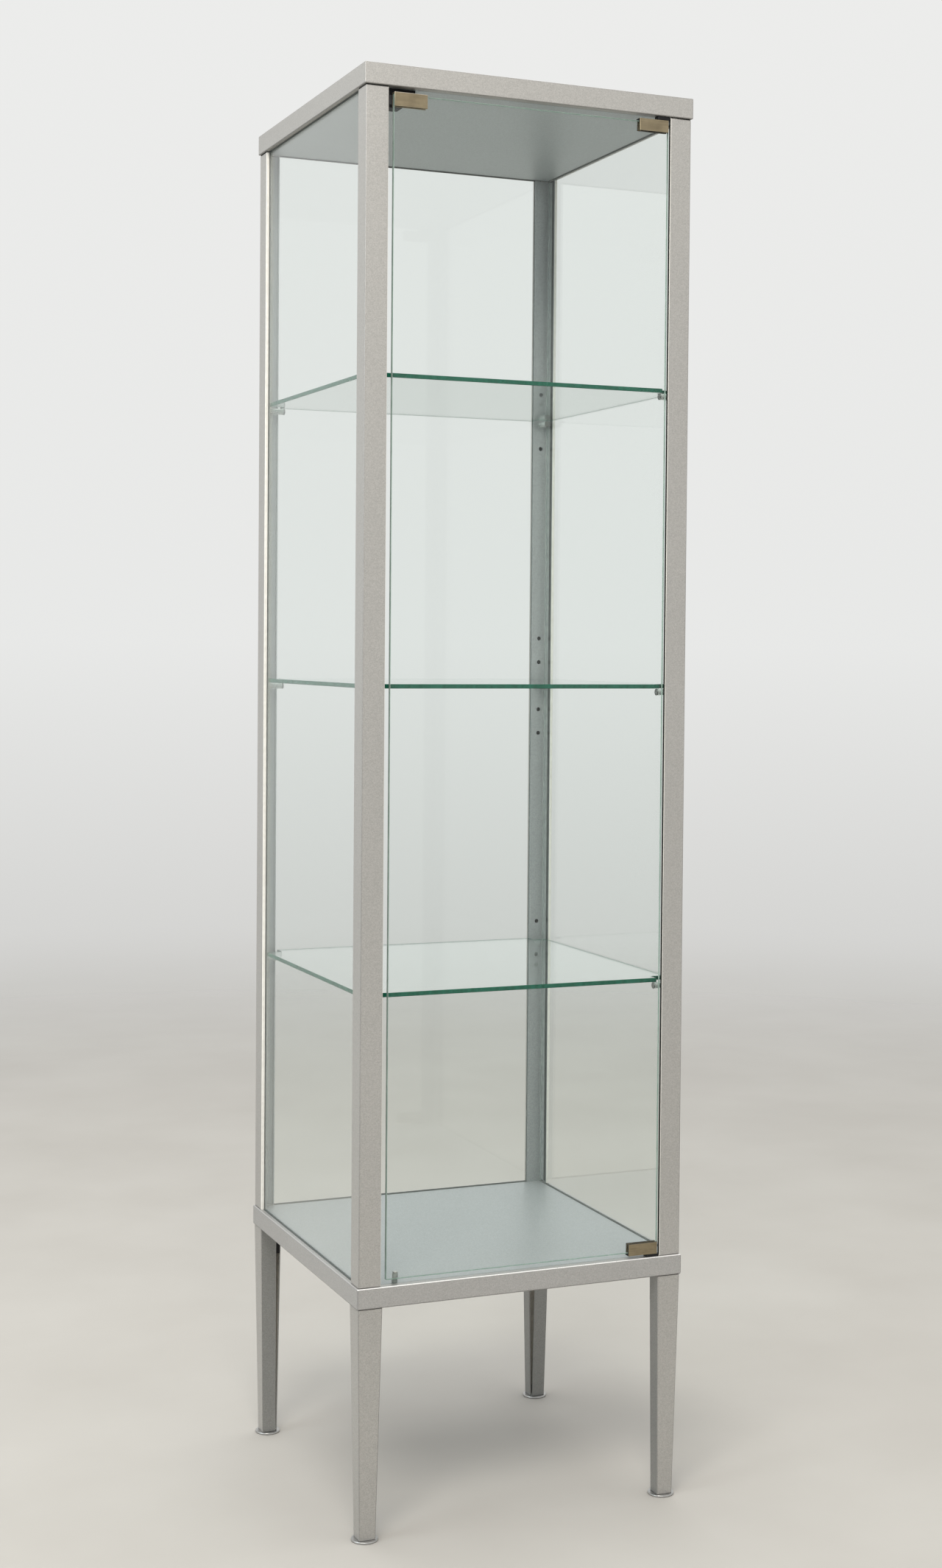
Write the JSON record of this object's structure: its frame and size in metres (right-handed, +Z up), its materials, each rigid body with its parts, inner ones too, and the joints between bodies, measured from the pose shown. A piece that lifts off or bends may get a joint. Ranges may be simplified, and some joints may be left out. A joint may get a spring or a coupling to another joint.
{
  "type": "glass display showcase",
  "caption": "Tall square glass display cabinet on tapered legs, silver frame, inset pivoting glass door, glass shelves on pins.",
  "frame": {"origin": "on the floor under the middle of the square cabinet", "axes": "+Z up, -Y towards the front where the door is, +X to the right as seen from the front, on the door's hinge side"},
  "size_m": [0.412, 0.412, 1.674],
  "materials": {
    "silver_paint": "satin metallic silver",
    "clear_glass": "clear float glass with green edges",
    "bronze_plate": "satin dark bronze",
    "black_plastic": "moulded, fine texture",
    "bright_steel": "zinc plated",
    "sleeved_steel": "steel pin in a soft clear sleeve",
    "black_steel": "black oxide",
    "ferrite": "sintered, dull",
    "grey_plastic": "ribbed",
    "black_rubber": "soft seals between steel and glass"
  },
  "bodies": {
    "cabinet": {"base_frame": "silver_paint", "catch_housing": "black_plastic", "catch_magnet": "ferrite", "catch_screw_1": "bright_steel", "catch_screw_2": "bright_steel", "ceiling_panel": "silver_paint", "floor_panel": "silver_paint", "leg_bolt_front_left": "black_steel", "leg_bolt_front_right": "black_steel", "leg_bolt_rear_left": "black_steel", "leg_bolt_rear_right": "black_steel", "leg_front_left": "silver_paint", "leg_front_right": "silver_paint", "leg_glide_front_left": "bright_steel", "leg_glide_front_right": "bright_steel", "leg_glide_rear_left": "bright_steel", "leg_glide_rear_right": "bright_steel", "leg_insert_front_left": "black_plastic", "leg_insert_front_right": "black_plastic", "leg_insert_rear_left": "black_plastic", "leg_insert_rear_right": "black_plastic", "leg_rear_left": "silver_paint", "leg_rear_right": "silver_paint", "pane_back": "clear_glass", "pane_left": "clear_glass", "pane_right": "clear_glass", "pivot_bushing_lower": "black_plastic", "pivot_bushing_upper": "black_plastic", "post_front_left": "silver_paint", "post_front_right": "silver_paint", "post_rear_left": "silver_paint", "post_rear_right": "silver_paint", "shelf_lower": "clear_glass", "shelf_middle": "clear_glass", "shelf_pin_lower_front_left": "sleeved_steel", "shelf_pin_lower_front_right": "sleeved_steel", "shelf_pin_lower_rear_left": "sleeved_steel", "shelf_pin_lower_rear_right": "sleeved_steel", "shelf_pin_middle_front_left": "sleeved_steel", "shelf_pin_middle_front_right": "sleeved_steel", "shelf_pin_middle_rear_left": "sleeved_steel", "shelf_pin_middle_rear_right": "sleeved_steel", "shelf_pin_upper_front_left": "sleeved_steel", "shelf_pin_upper_front_right": "sleeved_steel", "shelf_pin_upper_rear_left": "sleeved_steel", "shelf_pin_upper_rear_right": "sleeved_steel", "shelf_upper": "clear_glass", "stop_pin": "bright_steel", "stop_sleeve": "grey_plastic", "top_cap": "silver_paint"},
    "door": {"clamp_screw_lower_1": "bright_steel", "clamp_screw_lower_2": "bright_steel", "clamp_screw_upper_1": "bright_steel", "clamp_screw_upper_2": "bright_steel", "door_glass": "clear_glass", "hinge_clamp_lower": "bronze_plate", "hinge_clamp_upper": "bronze_plate", "pivot_pin_lower": "bright_steel", "pivot_pin_upper": "bright_steel", "strike_clip": "bronze_plate"}
  },
  "joints": [
    {"name": "door_hinge", "type": "hinge", "parent": "cabinet", "child": "door", "pos_m": [0.1685, -0.199, 0.972], "axis": [0, 0, 1], "range_deg": [0, 110]}
  ]
}
